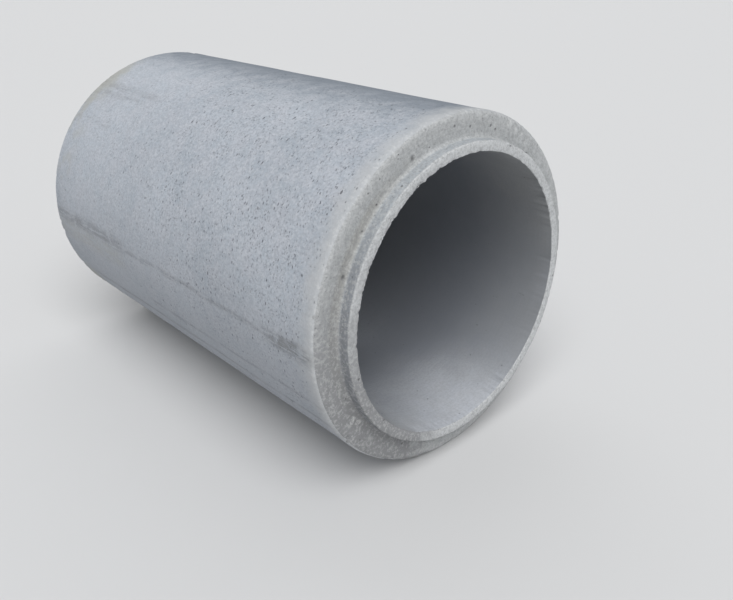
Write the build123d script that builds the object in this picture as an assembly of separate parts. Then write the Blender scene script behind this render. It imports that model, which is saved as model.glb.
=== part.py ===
"""Concrete sewer pipe with a tongue-and-groove joint, lying on its side.

The pipe is one casting: a thick round wall with a tongue on the inner half of its thickness at
one end, and at the other end the groove that takes the tongue of the next pipe in the line.
The pipe's axis runs along X with the tongue at +X, and the wall's lowest line lies on Z = 0.
"""

import os

from build123d import *

# Driving dimensions, in millimetres
BORE_DIAMETER = 800.0
WALL = 105.0
LAYING_LENGTH = 1500.0  # groove end face to shoulder: what one pipe adds to the line
TONGUE_LENGTH = 40.0
TONGUE_WALL = 30.0
TONGUE_COVE = 10.0  # hollow corner where the tongue rises from the shoulder
JOINT_CLEARANCE = 5.0  # radial room for mortar round the tongue
JOINT_GAP = 5.0  # the groove is this much deeper than the tongue is long
OUTER_ARRIS = 6.0  # rounding of the two outer edges
LIP_ARRIS = 3.0  # rounding of the thin edges at the bore, tongue and groove seat

# Radii and stations along the axis that follow from them
bore_radius = BORE_DIAMETER / 2
outer_radius = bore_radius + WALL
tongue_radius = bore_radius + TONGUE_WALL
groove_radius = tongue_radius + JOINT_CLEARANCE
groove_depth = TONGUE_LENGTH + JOINT_GAP
overall_length = LAYING_LENGTH + TONGUE_LENGTH
groove_end = -overall_length / 2
groove_seat = groove_end + groove_depth
shoulder = groove_end + LAYING_LENGTH
tongue_end = shoulder + TONGUE_LENGTH


def wall_section():
    """Half section of the wall: X is along the pipe, and Y is the distance from its axis."""
    # Each corner of the outline, and the rounding that the mould leaves there
    corners = [
        ((groove_end, groove_radius), TONGUE_COVE),  # flared mouth, clear of the tongue's cove
        ((groove_end, outer_radius), OUTER_ARRIS),
        ((shoulder, outer_radius), OUTER_ARRIS),
        ((shoulder, tongue_radius), TONGUE_COVE),
        ((tongue_end, tongue_radius), LIP_ARRIS),
        ((tongue_end, bore_radius), LIP_ARRIS),
        ((groove_seat, bore_radius), LIP_ARRIS),
        ((groove_seat, groove_radius), LIP_ARRIS),
    ]
    section = make_face(Polyline(*[place for place, _ in corners], close=True))
    for place, rounding in corners:
        corner = section.vertices().sort_by_distance(place)[0]
        section = fillet(corner, radius=rounding)
    return section


def concrete_pipe():
    """The wall turned round the pipe's axis, and set down on its lowest line."""
    return Pos(0, 0, outer_radius) * revolve(wall_section(), axis=Axis.X)


if __name__ == "__main__":
    os.makedirs("parts", exist_ok=True)
    pipe = concrete_pipe()
    export_step(pipe, "parts/concrete_pipe.step")
    print(f"outside diameter {2 * outer_radius:.0f} mm, overall length {overall_length:.0f} mm")
    print(f"volume {pipe.volume / 1e9:.4f} m3")
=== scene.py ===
# %% [markdown]
# # A concrete sewer pipe, dressed round its CAD frame
# The pipe is one casting with a tongue at the near end and a groove at the far one. The CAD frame
# gives its size and place, and this lesson models the casting as it comes from the mould and the
# yard, with worn edges, air holes and stains. The frame is loaded first, because all else is
# measured from it.

# %% Load the frame
import math
import random

import bmesh
import bpy
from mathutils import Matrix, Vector


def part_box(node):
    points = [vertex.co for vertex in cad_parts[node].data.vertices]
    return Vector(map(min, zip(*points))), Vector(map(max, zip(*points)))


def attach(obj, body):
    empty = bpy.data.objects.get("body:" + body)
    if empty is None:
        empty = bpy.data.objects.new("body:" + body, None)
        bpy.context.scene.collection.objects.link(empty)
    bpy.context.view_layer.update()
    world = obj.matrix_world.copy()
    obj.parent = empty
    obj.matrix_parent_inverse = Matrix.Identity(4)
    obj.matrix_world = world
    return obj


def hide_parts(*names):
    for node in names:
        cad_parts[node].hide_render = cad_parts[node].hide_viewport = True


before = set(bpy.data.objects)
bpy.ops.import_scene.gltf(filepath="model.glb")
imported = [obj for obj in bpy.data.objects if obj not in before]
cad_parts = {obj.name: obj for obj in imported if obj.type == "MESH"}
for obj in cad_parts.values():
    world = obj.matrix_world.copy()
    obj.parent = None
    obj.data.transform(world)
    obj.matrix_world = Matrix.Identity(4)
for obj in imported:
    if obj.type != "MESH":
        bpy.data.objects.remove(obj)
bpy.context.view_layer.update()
scene = bpy.context.scene

# %% [markdown]
# ## The camera
# A camera is easiest to set by where it stands, what it looks at and its lens. This one stands
# beside the tongue end, a little below eye height. The lens is shifted a little, because the
# picture is a crop from the lower left of a wider one, and upright lines stay truer that way.

# %% Set the camera
CAMERA_PLACE = Vector((2.000, -1.464, 1.428))
CAMERA_AIM = Vector((0.067, 0.450, 0.422))
LENS_MM = 37.58
SENSOR_MM = 36.0
LENS_SHIFT = (-0.0503, -0.1089)

bpy.ops.object.select_all(action="DESELECT")
bpy.ops.object.camera_add(location=CAMERA_PLACE)
camera = bpy.context.object
camera.rotation_euler = (CAMERA_AIM - CAMERA_PLACE).to_track_quat("-Z", "Y").to_euler()
camera.data.sensor_width = SENSOR_MM
camera.data.lens = LENS_MM
camera.data.shift_x, camera.data.shift_y = LENS_SHIFT
scene.camera = camera
print("camera to aim", round((CAMERA_AIM - CAMERA_PLACE).length, 3), "m")

# %% [markdown]
# ## Floor and light
# Concrete shows its grain best under a soft sky. A wide lamp shines from high in front of the
# tongue end, where it also reaches into the bore, and a weak one from behind keeps the far side
# readable. The sky fills the shadows, and it is as bright at the horizon as the floor is, so that
# no hard line shows where they meet.

# %% Lay the floor
FLOOR_SIZE = 90.0
FLOOR_GREY = 0.60

bpy.ops.object.select_all(action="DESELECT")
bpy.ops.mesh.primitive_plane_add(size=FLOOR_SIZE)
floor = bpy.context.object
floor.name = "floor"
floor_paint = bpy.data.materials.new("pale floor")
floor_paint.use_nodes = True
floor_shader = floor_paint.node_tree.nodes["Principled BSDF"]
floor_shader.inputs["Base Color"].default_value = (FLOOR_GREY, FLOOR_GREY, FLOOR_GREY, 1.0)
floor_shader.inputs["Roughness"].default_value = 0.9
floor.data.materials.append(floor_paint)

# %% Hang the lamps
SKY_STRENGTH = 2.64
BACK_STRENGTH = 0.55


def soft_sky(name, comes_from, strength, spread):
    """A sun lamp as wide as a bright patch of cloud: it lights the floor evenly to the horizon."""
    bpy.ops.object.light_add(type="SUN", location=comes_from)
    lamp = bpy.context.object
    lamp.name = name
    lamp.rotation_euler = Vector(comes_from).to_track_quat("Z", "Y").to_euler()
    lamp.data.energy = strength
    lamp.data.angle = math.radians(spread)


soft_sky("front_sky", (2.4, -1.7, 4.1), SKY_STRENGTH, 50.0)
soft_sky("back_sky", (-2.6, 2.8, 3.4), BACK_STRENGTH, 70.0)

# %% Set the sky
HORIZON_STRENGTH = 0.78
ZENITH_STRENGTH = 0.38
SKY_FADE = (0.02, 0.30)  # height of a direction, 0 at the horizon and 1 straight up

world = bpy.data.worlds.new("studio")
world.use_nodes = True
sky = world.node_tree
background = sky.nodes["Background"].inputs
background["Color"].default_value = (0.93, 0.96, 1.0, 1.0)
rise = sky.nodes.new("ShaderNodeSeparateXYZ")
sky.links.new(sky.nodes.new("ShaderNodeTexCoord").outputs["Generated"], rise.inputs[0])
dimming = sky.nodes.new("ShaderNodeMapRange")
dimming.interpolation_type = "SMOOTHSTEP"
dimming.inputs["From Min"].default_value, dimming.inputs["From Max"].default_value = SKY_FADE
dimming.inputs["To Min"].default_value = HORIZON_STRENGTH
dimming.inputs["To Max"].default_value = ZENITH_STRENGTH
sky.links.new(rise.outputs["Z"], dimming.inputs["Value"])
sky.links.new(dimming.outputs["Result"], background["Strength"])
scene.world = world
scene.view_settings.view_transform = "Standard"

# %% [markdown]
# ## The half section
# A pipe is turned, so all of its shape is in one half section: how far from the axis the wall
# starts and ends, at each place along it. The sizes are those of the CAD model, in metres, but
# the outer edges are rounder, because they are worn. The section could be typed in as a curve, but
# as a string of extruded points it stays a mesh, and each corner can then get its own rounding with
# a vertex bevel.

# %% Sizes of the casting
BORE_RADIUS = 0.400
OUTER_RADIUS = 0.505
TONGUE_RADIUS = 0.430
GROOVE_RADIUS = 0.435
TONGUE_LENGTH = 0.040
GROOVE_DEPTH = 0.045

node_low, node_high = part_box("concrete_pipe")
axis_height = (node_low.z + node_high.z) / 2
groove_end = node_low.x
tongue_end = node_high.x
shoulder = tongue_end - TONGUE_LENGTH
groove_seat = groove_end + GROOVE_DEPTH

# Each corner: place along the pipe, distance from the axis, rounding
SECTION = [
    (groove_end, GROOVE_RADIUS, 0.010),
    (groove_end, OUTER_RADIUS, 0.007),
    (shoulder, OUTER_RADIUS, 0.015),
    (shoulder, TONGUE_RADIUS, 0.010),
    (tongue_end, TONGUE_RADIUS, 0.004),
    (tongue_end, BORE_RADIUS, 0.003),
    (groove_seat, BORE_RADIUS, 0.003),
    (groove_seat, GROOVE_RADIUS, 0.003),
]
print("axis", round(axis_height, 4), "m up, shoulder at", round(shoulder, 4))

# %% Extrude the section's corners


def corner_point(corner):
    """A corner of the section as a point above the pipe's axis."""
    along, radius, _ = corner
    return Vector((along, 0.0, axis_height + radius))


bpy.ops.object.select_all(action="DESELECT")
bpy.ops.mesh.primitive_plane_add(size=0.01)
pipe = bpy.context.object
pipe.name = "weathered_pipe"
bpy.ops.object.mode_set(mode="EDIT")
bpy.ops.mesh.select_all(action="SELECT")
bpy.ops.mesh.merge(type="CENTER")
bpy.ops.transform.translate(value=corner_point(SECTION[0]))
for before, after in zip(SECTION, SECTION[1:]):
    step = corner_point(after) - corner_point(before)
    bpy.ops.mesh.extrude_region_move(TRANSFORM_OT_translate={"value": step})

# %% Close the section


def select_points(test):
    """In edit mode, selects the points that pass the test, and the edges between them."""
    mesh = bmesh.from_edit_mesh(pipe.data)
    for point in mesh.verts:
        point.select_set(test(point))
    mesh.select_flush_mode()
    bmesh.update_edit_mesh(pipe.data)


bpy.ops.mesh.select_mode(type="VERT")
select_points(lambda point: len(point.link_edges) == 1)
bpy.ops.mesh.edge_face_add()

# %% Round each corner
CORNER_STEPS = 4
SAME_PLACE = 1e-5  # points or lengths nearer than this count as the same

for corner in SECTION:
    place = corner_point(corner)
    select_points(lambda point: (point.co - place).length < SAME_PLACE)
    bpy.ops.mesh.bevel(offset=corner[2], offset_type="OFFSET", segments=CORNER_STEPS, affect="VERTICES")
print("section points", len(bmesh.from_edit_mesh(pipe.data).verts))

# %% [markdown]
# ## Turning the section
# Chips and wear need points to move, so the straight runs are divided before the turn: finely
# on the joint faces, coarsely on the long walls. Spin then turns the section round the axis. Its
# last copy lands on its first, so the doubles are merged and the normals set outwards.

# %% Divide the straight runs
SHORTEST_RUN = 0.012  # anything shorter is a step of a rounded corner
LONG_WALL = 0.5  # a run longer than this is one of the pipe's two walls
WALL_CUTS = 26
FACE_STEP = 0.007  # spacing of points on the joint faces

bpy.ops.mesh.select_mode(type="EDGE")
mesh = bmesh.from_edit_mesh(pipe.data)
lengths = [edge.calc_length() for edge in mesh.edges]
runs = sorted({round(length, 5) for length in lengths if length > SHORTEST_RUN})
for run in runs:
    mesh = bmesh.from_edit_mesh(pipe.data)
    for edge in mesh.edges:
        edge.select_set(abs(edge.calc_length() - run) < SAME_PLACE)
    bmesh.update_edit_mesh(pipe.data)
    cuts = WALL_CUTS if run > LONG_WALL else max(1, round(run / FACE_STEP) - 1)
    bpy.ops.mesh.subdivide(number_cuts=cuts)
print("runs", runs, "points", len(bmesh.from_edit_mesh(pipe.data).verts))

# %% Spin it round the axis
TURN_STEPS = 640

bpy.ops.mesh.select_mode(type="VERT")
bpy.ops.mesh.select_all(action="SELECT")
bpy.ops.mesh.spin(steps=TURN_STEPS, angle=math.tau, center=(0, 0, axis_height), axis=(1, 0, 0))
bpy.ops.mesh.select_all(action="SELECT")
bpy.ops.mesh.remove_doubles(threshold=SAME_PLACE)
bpy.ops.mesh.normals_make_consistent(inside=False)
bpy.ops.object.mode_set(mode="OBJECT")
pipe.data.update()
print("faces", len(pipe.data.polygons), "points", len(pipe.data.vertices))

# %% [markdown]
# ## Worn and chipped edges
# The thin lip of the tongue and the outer arris lose grains and chips when the mould is stripped
# and the pipe is handled. A Displace modifier can push the wall in by a cloud texture, and a
# vertex group says where: full weight on the edge, fading out over a few millimetres. A colour
# ramp on the texture keeps most of the edge sound and breaks it only at the strongest clouds.

# %% Weigh the points near each edge
MILD_WEAR = 0.45


def radius_of(point):
    """How far a point is from the pipe's axis."""
    return math.hypot(point.y, point.z - axis_height)


def degrees_of(point):
    """How far round a point is from the top, towards the side that faces the camera."""
    return math.degrees(math.atan2(-point.y, point.z - axis_height))


def rough_part(degrees):
    """The stretches of the bore lip that lost the most grains, and a milder rest."""
    rough = 8 < degrees < 84 or -72 < degrees < -44 or 150 < abs(degrees) < 168
    return 1.0 if rough else MILD_WEAR


def weigh_edge(name, along, radius, reach, share=lambda degrees: 1.0):
    """Makes a vertex group that is at most 1 on a ring-shaped edge and fades to 0 at reach."""
    group = pipe.vertex_groups.new(name=name)
    for point in pipe.data.vertices:
        away = math.hypot(point.co.x - along, radius_of(point.co) - radius)
        if away < reach:
            weight = share(degrees_of(point.co)) * (1.0 - away / reach) ** 0.7
            group.add([point.index], weight, "REPLACE")


weigh_edge("bore_lip", tongue_end, BORE_RADIUS, 0.012, rough_part)
weigh_edge("tongue_lip", tongue_end, TONGUE_RADIUS, 0.011)
weigh_edge("near_arris", shoulder, OUTER_RADIUS, 0.024)
weigh_edge("far_arris", groove_end, OUTER_RADIUS, 0.024)
weigh_edge("groove_mouth", groove_end, GROOVE_RADIUS + 0.004, 0.016)
walls = pipe.vertex_groups.new(name="walls")
walls.add([p.index for p in pipe.data.vertices if abs(p.co.x) < shoulder - 0.02], 1.0, "REPLACE")

# %% Push the edges in by clouds


def clouds(name, grain, low, high):
    """A cloud texture of a grain size in metres, black below low and white above high."""
    texture = bpy.data.textures.new(name, "CLOUDS")
    texture.noise_scale = grain
    texture.noise_depth = 3
    texture.use_color_ramp = True
    texture.color_ramp.elements[0].position = low
    texture.color_ramp.elements[0].color = (0, 0, 0, 1)
    texture.color_ramp.elements[1].position = high
    texture.color_ramp.elements[1].color = (1, 1, 1, 1)
    return texture


def wear_in(name, group, texture, depth):
    """Pushes a weighed part of the wall in, and makes that its shape."""
    bpy.ops.object.select_all(action="DESELECT")
    pipe.select_set(True)
    bpy.context.view_layer.objects.active = pipe
    wear = pipe.modifiers.new(name, "DISPLACE")
    wear.texture = texture
    wear.texture_coords = "LOCAL"
    wear.mid_level = 0.0
    wear.strength = -depth
    wear.vertex_group = group
    bpy.ops.object.modifier_apply(modifier=wear.name)


big_chips = clouds("big chips", 0.040, 0.62, 0.74)
small_chips = clouds("small chips", 0.011, 0.50, 0.74)
crumbs = clouds("crumbs", 0.007, 0.30, 0.80)
slow_waves = clouds("slow waves", 0.30, 0.20, 0.80)
wear_in("lip chips", "bore_lip", big_chips, 0.0045)
wear_in("lip nibbles", "bore_lip", small_chips, 0.0034)
wear_in("lip crumbs", "bore_lip", crumbs, 0.0024)
wear_in("tongue chips", "tongue_lip", small_chips, 0.0022)
wear_in("tongue crumbs", "tongue_lip", crumbs, 0.0010)
wear_in("arris chips", "near_arris", big_chips, 0.0034)
wear_in("arris crumbs", "near_arris", small_chips, 0.0016)
wear_in("far chips", "far_arris", big_chips, 0.0030)
wear_in("far crumbs", "far_arris", small_chips, 0.0012)
wear_in("mouth chips", "groove_mouth", small_chips, 0.0030)
wear_in("uneven walls", "walls", slow_waves, 0.0018)

# %% [markdown]
# ## Knocks on the shoulder
# A few single knocks show on the shoulder's flat ring: scraped patches, and two air holes larger
# than the rest. Each is pressed into the mesh one by one, as a dent that is deepest at its middle,
# with a little seeded roughness so that its floor isn't a smooth bowl. Each point also keeps how
# far it was scraped or hollowed, for the finish to colour it later.

# %% Press the knocks in
# Each knock: distance from the axis, degrees round from the top, half width, depth
KNOCKS = [
    (0.490, -25.0, 0.013, 0.0030),
    (0.484, -29.0, 0.011, 0.0026),
    (0.478, -33.0, 0.012, 0.0030),
    (0.470, -37.5, 0.010, 0.0022),
    (0.448, 22.7, 0.008, 0.0060),
    (0.440, 67.5, 0.007, 0.0045),
    (0.456, 121.0, 0.012, 0.0030),
    (0.449, 124.0, 0.010, 0.0026),
    (0.489, 200.0, 0.012, 0.0034),
]
AIR_HOLE_DEPTH = 0.004  # a knock deeper than this is an air hole, and dark instead of pale
dice = random.Random(7)


def ring_place(along, radius, degrees):
    """A point on the pipe: degrees run from the top towards the side that faces the camera."""
    turn = math.radians(degrees)
    return Vector((along, -radius * math.sin(turn), axis_height + radius * math.cos(turn)))


scraped = pipe.data.attributes.new("scraped", "FLOAT", "POINT")
hollow = pipe.data.attributes.new("hollow", "FLOAT", "POINT")
for radius, degrees, half_width, depth in KNOCKS:
    middle = ring_place(shoulder, radius, degrees)
    mark = hollow if depth > AIR_HOLE_DEPTH else scraped
    for point in pipe.data.vertices:
        away = (point.co - middle).length / half_width
        if away < 1.0:
            sunk = (1.0 - away ** 2) * dice.uniform(0.7, 1.2)
            point.co.x -= depth * sunk
            mark.data[point.index].value = min(1.0, sunk * 1.4)
pipe.data.update()
print("knocks", len(KNOCKS))

# %% Shade it smooth except at sharp breaks
SHARP_ANGLE = math.radians(50)

bpy.ops.object.select_all(action="DESELECT")
pipe.select_set(True)
bpy.context.view_layer.objects.active = pipe
bpy.ops.object.shade_smooth_by_angle(angle=SHARP_ANGLE)
pipe.vertex_groups.clear()

# %% [markdown]
# ## Reading the wall as a sheet
# Stains run along the pipe and air holes are drawn out round it, so the finishes need to know
# how far along and how far round a spot is. A shader node group can work that out from Object
# coordinates for every material: it unrolls the wall into a sheet, with the join underneath,
# where the pipe rests.

# %% Helpers for node trees


def new_group(name, inputs, outputs):
    """An empty shader node group with named sockets, and its two end nodes."""
    group = bpy.data.node_groups.new(name, "ShaderNodeTree")
    for title, kind, value in inputs:
        socket = group.interface.new_socket(title, in_out="INPUT", socket_type=kind)
        if value is not None:
            socket.default_value = value
    for title, kind in outputs:
        group.interface.new_socket(title, in_out="OUTPUT", socket_type=kind)
    return group, group.nodes.new("NodeGroupInput").outputs, group.nodes.new("NodeGroupOutput").inputs


def use_group(tree, group, **values):
    """Places a node group, plugs its inputs by name and gives its outputs."""
    node = tree.nodes.new("ShaderNodeGroup")
    node.node_tree = group
    for title, value in values.items():
        plug(tree, value, node.inputs[title])
    return node.outputs


def plug(tree, value, socket):
    """Links a socket, or sets a plain number or colour."""
    if isinstance(value, bpy.types.NodeSocket):
        tree.links.new(value, socket)
    else:
        socket.default_value = value


# %% Helpers for values


def sums(tree, operation, *values):
    """A Math node."""
    node = tree.nodes.new("ShaderNodeMath")
    node.operation = operation
    for value, socket in zip(values, node.inputs):
        plug(tree, value, socket)
    return node.outputs[0]


def product(tree, *values):
    """Several values multiplied."""
    result = values[0]
    for value in values[1:]:
        result = sums(tree, "MULTIPLY", result, value)
    return result


def strongest(tree, *values):
    """The largest of several values."""
    result = values[0]
    for value in values[1:]:
        result = sums(tree, "MAXIMUM", result, value)
    return result


def fade(tree, value, start, end, to_start=0.0, to_end=1.0):
    """A smooth step of a value from to_start to to_end."""
    node = tree.nodes.new("ShaderNodeMapRange")
    node.interpolation_type = "SMOOTHSTEP"
    titles = ("Value", "From Min", "From Max", "To Min", "To Max")
    for given, title in zip((value, start, end, to_start, to_end), titles):
        plug(tree, given, node.inputs[title])
    return node.outputs["Result"]


def noise(tree, place, scale, detail=2.0, roughness=0.55):
    """A Noise texture's value, about 0.5 on average."""
    node = tree.nodes.new("ShaderNodeTexNoise")
    plug(tree, place, node.inputs["Vector"])
    plug(tree, scale, node.inputs["Scale"])
    node.inputs["Detail"].default_value = detail
    node.inputs["Roughness"].default_value = roughness
    return node.outputs["Fac"]


def vector_of(tree, x, y, z):
    """Three values as one vector."""
    node = tree.nodes.new("ShaderNodeCombineXYZ")
    for value, socket in zip((x, y, z), node.inputs):
        plug(tree, value, socket)
    return node.outputs[0]


# %% The unrolled wall
FLOAT = "NodeSocketFloat"
VECTOR = "NodeSocketVector"

unrolled, ins, outs = new_group(
    "unrolled wall",
    [("Place", VECTOR, None)],
    [("Along", FLOAT), ("Around", FLOAT), ("Radius", FLOAT), ("Degrees", FLOAT)],
)
split = unrolled.nodes.new("ShaderNodeSeparateXYZ")
unrolled.links.new(ins["Place"], split.inputs[0])
sideways = sums(unrolled, "MULTIPLY", split.outputs["Y"], -1.0)
upwards = sums(unrolled, "SUBTRACT", split.outputs["Z"], axis_height)
turn = sums(unrolled, "ARCTAN2", sideways, upwards)
squares = sums(unrolled, "ADD", sums(unrolled, "POWER", sideways, 2.0), sums(unrolled, "POWER", upwards, 2.0))
unrolled.links.new(split.outputs["X"], outs["Along"])
unrolled.links.new(product(unrolled, turn, OUTER_RADIUS), outs["Around"])
unrolled.links.new(sums(unrolled, "SQRT", squares), outs["Radius"])
unrolled.links.new(sums(unrolled, "DEGREES", turn), outs["Degrees"])

# %% [markdown]
# ## Air holes
# Air trapped against the mould leaves small dark holes, a few millimetres across. A Voronoi
# texture scatters one point per cell. The distance to it, less a random size for that cell, is
# below zero inside a hole. Share is the part of the cells that have a hole at all.

# %% The air hole group
air_holes, ins, outs = new_group(
    "air holes",
    [("Place", VECTOR, None), ("Cells", FLOAT, 90.0), ("Size", FLOAT, 0.3), ("Share", FLOAT, 0.5)],
    [("Hole", FLOAT)],
)
cells = air_holes.nodes.new("ShaderNodeTexVoronoi")
air_holes.links.new(ins["Place"], cells.inputs["Vector"])
air_holes.links.new(ins["Cells"], cells.inputs["Scale"])
cell_numbers = air_holes.nodes.new("ShaderNodeSeparateColor")
air_holes.links.new(cells.outputs["Color"], cell_numbers.inputs[0])
has_hole = sums(air_holes, "LESS_THAN", cell_numbers.outputs[0], ins["Share"])
size_factor = sums(air_holes, "MULTIPLY_ADD", cell_numbers.outputs[1], 0.75, 0.35)
inside = sums(air_holes, "SUBTRACT", cells.outputs["Distance"], product(air_holes, ins["Size"], size_factor))
open_hole = fade(air_holes, inside, -0.10, 0.02, 1.0, 0.0)
air_holes.links.new(product(air_holes, open_hole, has_hole), outs["Hole"])


def holes_in(tree, place, cells_per_metre, size, share):
    """Air holes as a mask, 1 inside a hole; size is a part of a cell."""
    return use_group(tree, air_holes, Place=place, Cells=cells_per_metre, Size=size, Share=share)["Hole"]


# %% [markdown]
# ## Cement skin
# Cement dries in clouds of slightly different greys, over a fine sandy grain. One group gives
# both, so the outside, the joint and the bore share the same concrete: Cloud for slow changes
# of colour, Patch for those a hand wide, Speck and Fleck for dark and pale mottling a few
# millimetres across, and Sand for the grain that catches the light.

# %% The cement skin group
cement, ins, outs = new_group(
    "cement skin",
    [("Place", VECTOR, None), ("Grains", FLOAT, 420.0)],
    [("Cloud", FLOAT), ("Patch", FLOAT), ("Sand", FLOAT), ("Speck", FLOAT), ("Fleck", FLOAT)],
)
# Each kind: scale, detail and roughness of its noise, and where that fades in
MOTTLING = {
    "Cloud": (3.2, 3.0, 0.55, 0.32, 0.68),
    "Patch": (17.0, 4.0, 0.62, 0.30, 0.70),
    "Speck": (150.0, 3.0, 0.70, 0.42, 0.62),
    "Fleck": (95.0, 4.0, 0.75, 0.46, 0.64),
}
for kind, (scale, detail, roughness, low, high) in MOTTLING.items():
    mottling = noise(cement, ins["Place"], scale, detail, roughness)
    cement.links.new(fade(cement, mottling, low, high), outs[kind])
cement.links.new(noise(cement, ins["Place"], ins["Grains"], 3.0, 0.7), outs["Sand"])

# %% [markdown]
# ## Lengthwise stains
# The pipe has lain in stacks and on bearers, and dirt has dried in lines along it. Each line is
# a narrow band round a chosen angle that wanders with a slow noise, fades at both ends and breaks
# up where the noise is low.

# %% The stain line group
FADE_LENGTH = 0.12  # how far a stain takes to fade at its ends

stain_line, ins, outs = new_group(
    "stain line",
    [("Along", FLOAT, 0.0), ("Around", FLOAT, 0.0), ("Line", FLOAT, 0.8), ("Width", FLOAT, 0.02),
     ("Start", FLOAT, -0.7), ("End", FLOAT, 0.7)],
    [("Stain", FLOAT)],
)
stretched = vector_of(stain_line, product(stain_line, ins["Along"], 0.12), ins["Around"], 0.0)
wander = sums(stain_line, "MULTIPLY_ADD", noise(stain_line, stretched, 12.0), 0.024, -0.012)
from_line = sums(stain_line, "SUBTRACT", ins["Around"], ins["Line"])
off_line = sums(stain_line, "ABSOLUTE", sums(stain_line, "ADD", from_line, wander))
band = fade(stain_line, sums(stain_line, "DIVIDE", off_line, ins["Width"]), 0.15, 1.0, 1.0, 0.0)
past_start = fade(stain_line, sums(stain_line, "SUBTRACT", ins["Along"], ins["Start"]), 0.0, FADE_LENGTH)
before_end = fade(stain_line, sums(stain_line, "SUBTRACT", ins["End"], ins["Along"]), 0.0, FADE_LENGTH)
streaky = fade(stain_line, noise(stain_line, stretched, 95.0, 3.0, 0.6), 0.30, 0.58)
flat_place = vector_of(stain_line, ins["Along"], ins["Around"], 0.0)
broken = fade(stain_line, noise(stain_line, flat_place, 22.0, 4.0, 0.7), 0.26, 0.54)
stain = product(stain_line, band, streaky, broken, past_start, before_end)
stain_line.links.new(stain, outs["Stain"])

# %% [markdown]
# ## Outside wall
# The mould leaves the outside a bluish light grey, sown with air holes that thin out towards the
# groove end and down the sides. The last hand's width before the shoulder was floated smooth and
# is paler and warmer. Down the sides the wall is painted darker as shade, a band along the crown's
# far edge is painted shade where it turns from the light, and stains run along it.

# %% Helpers for finishes


def start_concrete(name):
    """A material with its Principled shader, Object coordinates and the unrolled wall."""
    paint = bpy.data.materials.new(name)
    paint.use_nodes = True
    tree = paint.node_tree
    shader = tree.nodes["Principled BSDF"].inputs
    shader["Specular IOR Level"].default_value = 0.25
    spot = tree.nodes.new("ShaderNodeTexCoord").outputs["Object"]
    return paint, tree, shader, spot, use_group(tree, unrolled, Place=spot)


def blend(tree, share, first, second):
    """Two colours mixed by a share."""
    node = tree.nodes.new("ShaderNodeMix")
    node.data_type = "RGBA"
    first_colour, second_colour = [socket for socket in node.inputs if socket.type == "RGBA"]
    plug(tree, share, node.inputs["Factor"])
    plug(tree, first, first_colour)
    plug(tree, second, second_colour)
    return [socket for socket in node.outputs if socket.type == "RGBA"][0]


def coats(tree, colour, layers):
    """Coats of colour laid over each other: each has a mask, a strength and its own colour."""
    for mask, strength, coat in layers:
        colour = blend(tree, product(tree, mask, strength), colour, (*coat, 1.0))
    return colour


def set_bump(tree, shader, height, depth):
    """Plugs a height into the shader's normal; a height of 1 is as deep as depth, in metres."""
    bump = tree.nodes.new("ShaderNodeBump")
    bump.inputs["Strength"].default_value = 1.0
    bump.inputs["Distance"].default_value = depth
    tree.links.new(height, bump.inputs["Height"])
    tree.links.new(bump.outputs[0], shader["Normal"])


# %% Outside: air holes
outside, tree, shader, spot, sheet = start_concrete("outside wall")
along, around, degrees_round = sheet["Along"], sheet["Around"], sheet["Degrees"]
skin = use_group(tree, cement, Place=spot)
from_top = sums(tree, "ABSOLUTE", degrees_round)
near_edge = sums(tree, "ADD", along, product(tree, skin["Patch"], 0.025))
near_band = fade(tree, near_edge, 0.655, 0.735)
hole_sown = product(
    tree,
    fade(tree, along, -0.55, 0.15, 0.10, 1.0),
    fade(tree, noise(tree, spot, 4.5), 0.34, 0.58, 0.35, 1.0),
    fade(tree, near_band, 0.0, 0.8, 1.0, 0.12),
    fade(tree, from_top, 52.0, 98.0, 1.0, 0.38),
)
drawn_out = vector_of(tree, along, product(tree, around, 0.55), sheet["Radius"])
pin_holes = holes_in(tree, drawn_out, 200.0, 0.38, product(tree, hole_sown, 0.68))
small_holes = holes_in(tree, drawn_out, 125.0, 0.30, product(tree, hole_sown, 0.44))
large_holes = holes_in(tree, drawn_out, 64.0, 0.22, product(tree, hole_sown, 0.15))
holes = strongest(tree, product(tree, pin_holes, 0.48), product(tree, small_holes, 0.76), large_holes)

# %% Outside: stains
# Each stain: degrees round from the top, width, start and end along the pipe, strength
DARK_STAINS = [
    (91.5, 0.036, -0.84, -0.20, 0.72),
    (92.0, 0.014, -0.40, 0.72, 0.55),
    (92.0, 0.040, 0.48, 0.775, 1.15),
    (118.0, 0.016, -0.72, 0.76, 0.70),
    (110.0, 0.010, -0.20, 0.76, 0.60),
    (33.0, 0.026, -0.86, -0.30, 0.42),
    (37.0, 0.020, -0.80, -0.36, 0.42),
    (50.0, 0.018, -0.80, -0.42, 0.252),
    (-95.0, 0.022, -0.74, 0.40, 0.80),
    (-121.0, 0.018, -0.30, 0.76, 0.80),
]
RUST_WASH = (97.5, 0.062, -0.85, -0.22, 0.80)


def stained(degrees, width, start, end, strength):
    """A stain line on the outside wall."""
    line = use_group(tree, stain_line, Along=along, Around=around, Line=math.radians(degrees) * OUTER_RADIUS,
                     Width=width, Start=start, End=end)
    return product(tree, line["Stain"], strength)


dark_stain = strongest(tree, *[stained(*stain) for stain in DARK_STAINS])
dark_stain = sums(tree, "MINIMUM", dark_stain, 1.0)
rust_wash = stained(*RUST_WASH)
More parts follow.
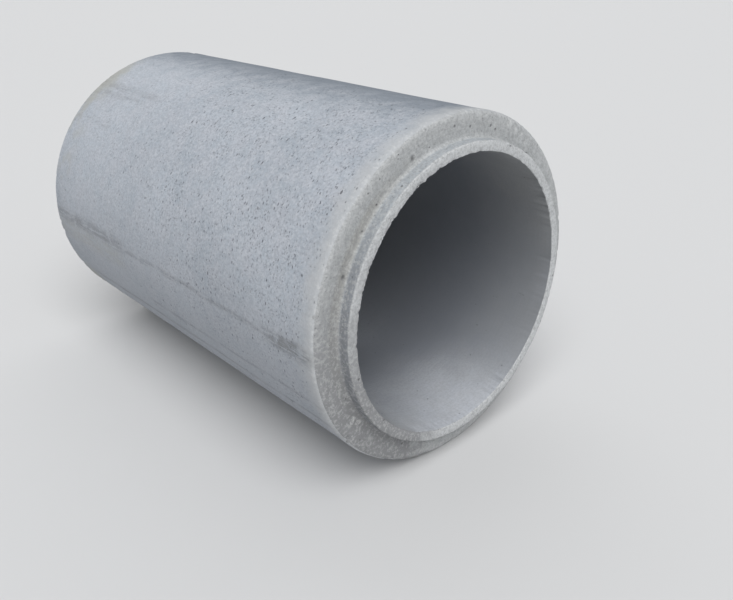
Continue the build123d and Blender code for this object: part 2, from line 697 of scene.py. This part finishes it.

# %% Outside: weather and painted shade
far_rim = product(
    tree,
    fade(tree, along, -0.62, -0.75),
    fade(tree, noise(tree, spot, 7.0, 3.0), 0.45, 0.62),
    fade(tree, degrees_round, 8.0, 26.0, 0.12, 1.0),
)
# Painted shade: the wall is painted darker down the sides.
lower_sides_shade = fade(tree, from_top, 66.0, 108.0)
ragged = sums(tree, "MULTIPLY_ADD", skin["Patch"], 6.0, degrees_round)
# Painted shade: a band along the crown, past the top on the side away from the camera, is painted darker.
top_edge_shade = product(tree, fade(tree, ragged, 26.0, -6.0), fade(tree, ragged, -46.0, -14.0))
rubbed = product(tree, fade(tree, along, 0.698, 0.724), fade(tree, skin["Fleck"], 0.0, 1.0, 0.15, 0.70))

# %% Outside: colour, roughness and bump
colour = blend(tree, skin["Cloud"], (0.338, 0.374, 0.418, 1.0), (0.414, 0.450, 0.496, 1.0))
colour = coats(tree, colour, [
    (skin["Patch"], 0.55, (0.448, 0.458, 0.496)),
    (skin["Speck"], 0.54, (0.265, 0.282, 0.310)),
    (skin["Fleck"], 0.44, (0.520, 0.540, 0.570)),
    # Painted shade: the lower sides.
    (lower_sides_shade, 0.48, (0.286, 0.300, 0.325)),
    # Painted shade: the band along the crown's far edge.
    (top_edge_shade, 0.92, (0.172, 0.196, 0.226)),
    (near_band, 0.70, (0.425, 0.432, 0.436)),
    (rubbed, 1.00, (0.520, 0.528, 0.530)),
    (far_rim, 0.70, (0.355, 0.350, 0.310)),
    (rust_wash, 0.36, (0.330, 0.320, 0.270)),
    (dark_stain, 0.66, (0.150, 0.153, 0.152)),
    (holes, 0.80, (0.115, 0.120, 0.132)),
])
tree.links.new(colour, shader["Base Color"])
tree.links.new(fade(tree, skin["Patch"], 0.0, 1.0, 0.92, 0.78), shader["Roughness"])
height = sums(tree, "SUBTRACT", product(tree, skin["Sand"], 0.40), holes)
set_bump(tree, shader, height, 0.0025)

# %% [markdown]
# ## Joint faces
# The shoulder, the tongue and its end are struck off while the concrete is green, so they show
# faint rings, a warmer grey and coarser grain. The end of the tongue and the arrises are rubbed
# pale, dirt has settled at the foot of the tongue, and the faces near the tongue end are darker
# low on the side towards the camera. Those places are found by how far along the pipe, how far
# round it and how far from its axis they are.

# %% Joint: places
joint, tree, shader, spot, sheet = start_concrete("joint faces")
along, radius = sheet["Along"], sheet["Radius"]
skin = use_group(tree, cement, Place=spot, Grains=300.0)
ring_spot = vector_of(tree, product(tree, along, 60.0), product(tree, sheet["Around"], 2.5),
                      product(tree, radius, 60.0))
rings = noise(tree, ring_spot, 6.0, 3.0)
end_face = fade(tree, along, tongue_end - 0.0045, tongue_end - 0.0012)
tongue_side = product(tree, fade(tree, along, shoulder + 0.004, shoulder + 0.010),
                      fade(tree, along, tongue_end - 0.003, tongue_end - 0.007))
ragged_radius = sums(tree, "ADD", radius, product(tree, skin["Patch"], 0.006))
arris = fade(tree, ragged_radius, OUTER_RADIUS - 0.038, OUTER_RADIUS - 0.006)
ragged_degrees = sums(tree, "MULTIPLY_ADD", skin["Patch"], 14.0, sheet["Degrees"])

# %% Joint: dirt, darker low side and holes


def between(start, full, fading, end):
    """A mask round the ring: it rises from start to full degrees, and falls from fading to end."""
    return product(tree, fade(tree, ragged_degrees, start, full), fade(tree, ragged_degrees, end, fading))


def on_points(name):
    """A value that was kept on the mesh's points."""
    node = tree.nodes.new("ShaderNodeAttribute")
    node.attribute_name = name
    return node.outputs["Fac"]


# Darker low on the side towards the camera, near the tongue end.
low_side_darkening = product(tree, between(60.0, 125.0, 158.0, 176.0), fade(tree, along, 0.0, 0.2))
# The tongue's side, darker low on the side towards the camera.
tongue_low_darkening = product(tree, tongue_side, between(40.0, 88.0, 140.0, 176.0))
tongue_foot = product(tree, fade(tree, radius, 0.466, 0.450),
                      fade(tree, along, shoulder + 0.006, shoulder + 0.001))
dirt_ring = product(tree, tongue_foot, between(20.0, 60.0, 110.0, 150.0))
grit = holes_in(tree, spot, 150.0, 0.36, 0.30)
pits = holes_in(tree, spot, 48.0, 0.20, 0.10)
holes = strongest(tree, product(tree, grit, 0.45), pits)
scraped_pale = product(tree, on_points("scraped"), fade(tree, skin["Fleck"], 0.0, 1.0, 0.18, 0.75))

# %% Joint: colour, roughness and bump
colour = blend(tree, skin["Cloud"], (0.412, 0.424, 0.428, 1.0), (0.480, 0.492, 0.498, 1.0))
colour = coats(tree, colour, [
    (fade(tree, rings, 0.40, 0.68), 0.45, (0.325, 0.332, 0.330)),
    (tongue_side, 0.75, (0.345, 0.375, 0.405)),
    (end_face, 0.85, (0.558, 0.570, 0.578)),
    (arris, 0.62, (0.455, 0.464, 0.468)),
    (dirt_ring, 0.55, (0.330, 0.320, 0.290)),
    # Darker low on the side towards the camera, near the tongue end.
    (low_side_darkening, 0.88, (0.225, 0.226, 0.232)),
    # The tongue's side, darker low on the side towards the camera.
    (tongue_low_darkening, 0.70, (0.190, 0.202, 0.222)),
    (skin["Speck"], 0.48, (0.260, 0.265, 0.268)),
    (skin["Fleck"], 0.36, (0.600, 0.605, 0.600)),
    (holes, 0.62, (0.120, 0.122, 0.125)),
    (scraped_pale, 1.00, (0.620, 0.625, 0.620)),
    (on_points("hollow"), 0.75, (0.120, 0.122, 0.125)),
])
tree.links.new(colour, shader["Base Color"])
tree.links.new(fade(tree, skin["Patch"], 0.0, 1.0, 0.95, 0.82), shader["Roughness"])
grain = sums(tree, "MULTIPLY_ADD", skin["Sand"], 0.90, product(tree, rings, 0.25))
set_bump(tree, shader, sums(tree, "SUBTRACT", grain, holes), 0.0022)

# %% [markdown]
# ## Bore
# The bore was cast against a steel core, so it is the smoothest face: few air holes and faint
# rings from the core. Its crown, the cheek that faces away from the light and the bore deeper in
# from the tongue end are painted darker, as painted shade.

# %% Bore: places
bore, tree, shader, spot, sheet = start_concrete("bore wall")
degrees_round = sheet["Degrees"]
skin = use_group(tree, cement, Place=spot, Grains=520.0)
ring_spot = vector_of(tree, product(tree, sheet["Along"], 30.0), product(tree, sheet["Around"], 1.5), 0.0)
rings = noise(tree, ring_spot, 5.0, 3.0)
holes = holes_in(tree, spot, 75.0, 0.22, 0.09)
# Painted shade: the bore's crown is painted darker.
crown_shade = fade(tree, sums(tree, "ABSOLUTE", degrees_round), 118.0, 174.0, 1.0, 0.0)
# Painted shade: the cheek that faces away from the light is painted darker.
cheek_shade = product(tree, fade(tree, degrees_round, -74.0, -102.0), fade(tree, degrees_round, -168.0, -136.0))
# Painted shade: the bore is painted darker deeper in from the tongue end, most of all partway in.
ragged_depth = sums(tree, "ADD", sheet["Along"], product(tree, skin["Cloud"], 0.10))
depth_shade = sums(tree, "SUBTRACT", fade(tree, ragged_depth, 0.82, 0.40), fade(tree, ragged_depth, 0.42, 0.08, 0.0, 0.50))

# %% Bore: colour, roughness and bump
colour = blend(tree, skin["Cloud"], (0.435, 0.458, 0.502, 1.0), (0.492, 0.512, 0.550, 1.0))
colour = coats(tree, colour, [
    (skin["Patch"], 0.30, (0.420, 0.425, 0.430)),
    (fade(tree, rings, 0.42, 0.66), 0.14, (0.290, 0.300, 0.315)),
    # Painted shade: the crown.
    (crown_shade, 0.67, (0.190, 0.191, 0.182)),
    # Painted shade: the cheek that faces away from the light.
    (cheek_shade, 0.42, (0.165, 0.178, 0.202)),
    # Painted shade: the bore deeper in from the tongue end.
    (depth_shade, 0.82, (0.165, 0.178, 0.202)),
    (holes, 0.50, (0.110, 0.114, 0.120)),
    (skin["Speck"], 0.20, (0.200, 0.208, 0.220)),
])
tree.links.new(colour, shader["Base Color"])
tree.links.new(fade(tree, skin["Patch"], 0.0, 1.0, 0.86, 0.70), shader["Roughness"])
height = sums(tree, "SUBTRACT", product(tree, skin["Sand"], 0.12), holes)
set_bump(tree, shader, height, 0.0018)

# %% [markdown]
# ## Which face gets which finish
# The finishes meet at the arrises, where the real casting changes too. A face is part of the
# outside or the bore if its middle is on that radius, and all the others belong to the joint.

# %% Give each face its finish
OUTSIDE_FINISH, JOINT_FINISH, BORE_FINISH = 0, 1, 2

for paint in (outside, joint, bore):
    pipe.data.materials.append(paint)
counts = [0, 0, 0]
for face in pipe.data.polygons:
    away = radius_of(face.center)
    facing = abs(face.normal.x)
    finish = JOINT_FINISH
    if away > OUTER_RADIUS - 0.006 and facing < 0.7:
        finish = OUTSIDE_FINISH
    elif away < BORE_RADIUS + 0.003 and facing < 0.5 and face.center.x < tongue_end - 0.004:
        finish = BORE_FINISH
    face.material_index = finish
    counts[finish] += 1
print("faces outside, joint, bore", counts)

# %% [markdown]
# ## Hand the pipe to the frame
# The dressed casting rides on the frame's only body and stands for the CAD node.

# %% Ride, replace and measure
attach(pipe, "root")
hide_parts("concrete_pipe")
print("triangles", sum(len(face.vertices) - 2 for face in pipe.data.polygons))
